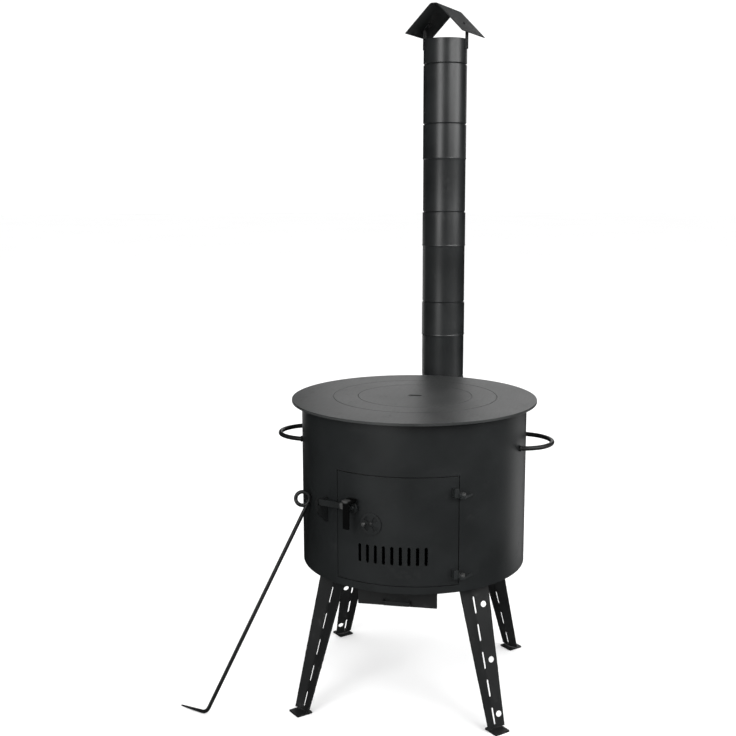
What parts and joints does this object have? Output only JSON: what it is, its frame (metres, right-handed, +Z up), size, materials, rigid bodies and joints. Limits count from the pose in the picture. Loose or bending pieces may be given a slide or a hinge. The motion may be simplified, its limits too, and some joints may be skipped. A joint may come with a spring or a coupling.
{
  "type": "cauldron stove",
  "caption": "Wood-burning cauldron stove: a black steel drum on folded legs with a fire door, ash drawer, lift-out hob plates, a push-together flue with a rain cap, and a poker.",
  "frame": {"origin": "on the ground under the middle of the stove's bounding box; the drum's axis is 77 mm to +X and 148 mm to -Y of it", "axes": "+Z up, the fire door faces -Y and the flue stands at +Y"},
  "size_m": [0.7155, 0.7856, 1.4183],
  "materials": {
    "body_paint": "satin black heat-proof paint",
    "hob_steel": "smooth grey-black plate, half gloss",
    "flue_paint": "half-gloss dark grey",
    "grate_iron": "rough black",
    "fastener_steel": "zinc plated",
    "poker_steel": "dark rod, half gloss"
  },
  "bodies": {
    "stove_body": {"body_shell": "body_paint", "body_floor": "body_paint", "door_stop_frame": "grate_iron", "hinge_lug_lower": "body_paint", "hinge_lug_upper": "body_paint", "hinge_pin_lower": "fastener_steel", "hinge_pin_upper": "fastener_steel", "latch_keeper": "body_paint", "handle_left": "body_paint", "handle_right": "body_paint", "leg_front_left": "body_paint", "leg_front_right": "body_paint", "leg_back_right": "body_paint", "leg_back_left": "body_paint", "foot_front_left": "body_paint", "foot_front_right": "body_paint", "foot_back_right": "body_paint", "foot_back_left": "body_paint", "drawer_runner_left": "body_paint", "drawer_runner_right": "body_paint", "flue_spigot": "flue_paint"},
    "door": {"door_panel": "body_paint", "door_eye_lower": "body_paint", "door_eye_upper": "body_paint", "vent_rivet": "fastener_steel", "latch_bolt": "fastener_steel", "latch_nut": "fastener_steel", "latch_spacer": "fastener_steel"},
    "vent": {"vent_disc": "body_paint", "vent_knob": "fastener_steel"},
    "latch": {"latch_bar": "body_paint", "latch_grip": "body_paint"},
    "drawer": {"ash_drawer": "grate_iron", "drawer_face": "body_paint", "drawer_pull": "body_paint"},
    "hob": {"hob_plate": "hob_steel"},
    "lift_ring": {"hob_ring": "hob_steel"},
    "lift_centre": {"hob_centre": "hob_steel"},
    "grate": {"fire_grate": "grate_iron"},
    "elbow": {"flue_elbow": "flue_paint"},
    "flue_first": {"pipe_first": "flue_paint"},
    "flue_second": {"pipe_second": "flue_paint"},
    "flue_third": {"pipe_third": "flue_paint"},
    "flue_last": {"pipe_top": "flue_paint"},
    "rain_cap": {"cap_collar": "flue_paint", "cap_strap_left": "flue_paint", "cap_strap_right": "flue_paint", "cap_roof": "flue_paint", "cap_rivet_left_low": "fastener_steel", "cap_rivet_left_high": "fastener_steel", "cap_rivet_right_low": "fastener_steel", "cap_rivet_right_high": "fastener_steel"},
    "fire_poker": {"poker": "poker_steel"}
  },
  "joints": [
    {"name": "door_swing", "type": "hinge", "parent": "stove_body", "child": "door", "pos_m": [0.19926, -0.34752, 0.385], "axis": [0, 0, 1], "range_deg": [0, 110]},
    {"name": "vent_turn", "type": "hinge", "parent": "door", "child": "vent", "pos_m": [0.03117, -0.3693, 0.4035], "axis": [-0.2028, -0.9792, 0], "range_deg": [0, 45]},
    {"name": "latch_lift", "type": "hinge", "parent": "door", "child": "latch", "pos_m": [-0.0046, -0.36624, 0.432], "axis": [0.3502, 0.9367, 0], "range_deg": [0, 35]},
    {"name": "drawer_pull_out", "type": "slide", "parent": "stove_body", "child": "drawer", "axis": [0, -1, 0], "range_m": [0, 0.19]},
    {"name": "hob_lift", "type": "slide", "parent": "stove_body", "child": "hob", "axis": [0, 0, 1], "range_m": [0, 0.06]},
    {"name": "ring_lift", "type": "slide", "parent": "hob", "child": "lift_ring", "axis": [0, 0, 1], "range_m": [0, 0.05]},
    {"name": "centre_lift", "type": "slide", "parent": "lift_ring", "child": "lift_centre", "axis": [0, 0, 1], "range_m": [0, 0.04]},
    {"name": "grate_lift", "type": "slide", "parent": "stove_body", "child": "grate", "axis": [0, 0, 1], "range_m": [0, 0.05]},
    {"name": "elbow_pull_off", "type": "slide", "parent": "stove_body", "child": "elbow", "axis": [0, 1, 0], "range_m": [0, 0.06]},
    {"name": "first_pipe_lift", "type": "slide", "parent": "elbow", "child": "flue_first", "axis": [0, 0, 1], "range_m": [0, 0.06]},
    {"name": "second_pipe_lift", "type": "slide", "parent": "flue_first", "child": "flue_second", "axis": [0, 0, 1], "range_m": [0, 0.06]},
    {"name": "third_pipe_lift", "type": "slide", "parent": "flue_second", "child": "flue_third", "axis": [0, 0, 1], "range_m": [0, 0.06]},
    {"name": "top_pipe_lift", "type": "slide", "parent": "flue_third", "child": "flue_last", "axis": [0, 0, 1], "range_m": [0, 0.06]},
    {"name": "cap_lift", "type": "slide", "parent": "flue_last", "child": "rain_cap", "axis": [0, 0, 1], "range_m": [0, 0.06]},
    {"name": "poker_pick_up", "type": "slide", "parent": "stove_body", "child": "fire_poker", "axis": [0, 0, 1], "range_m": [0, 0.15]}
  ]
}
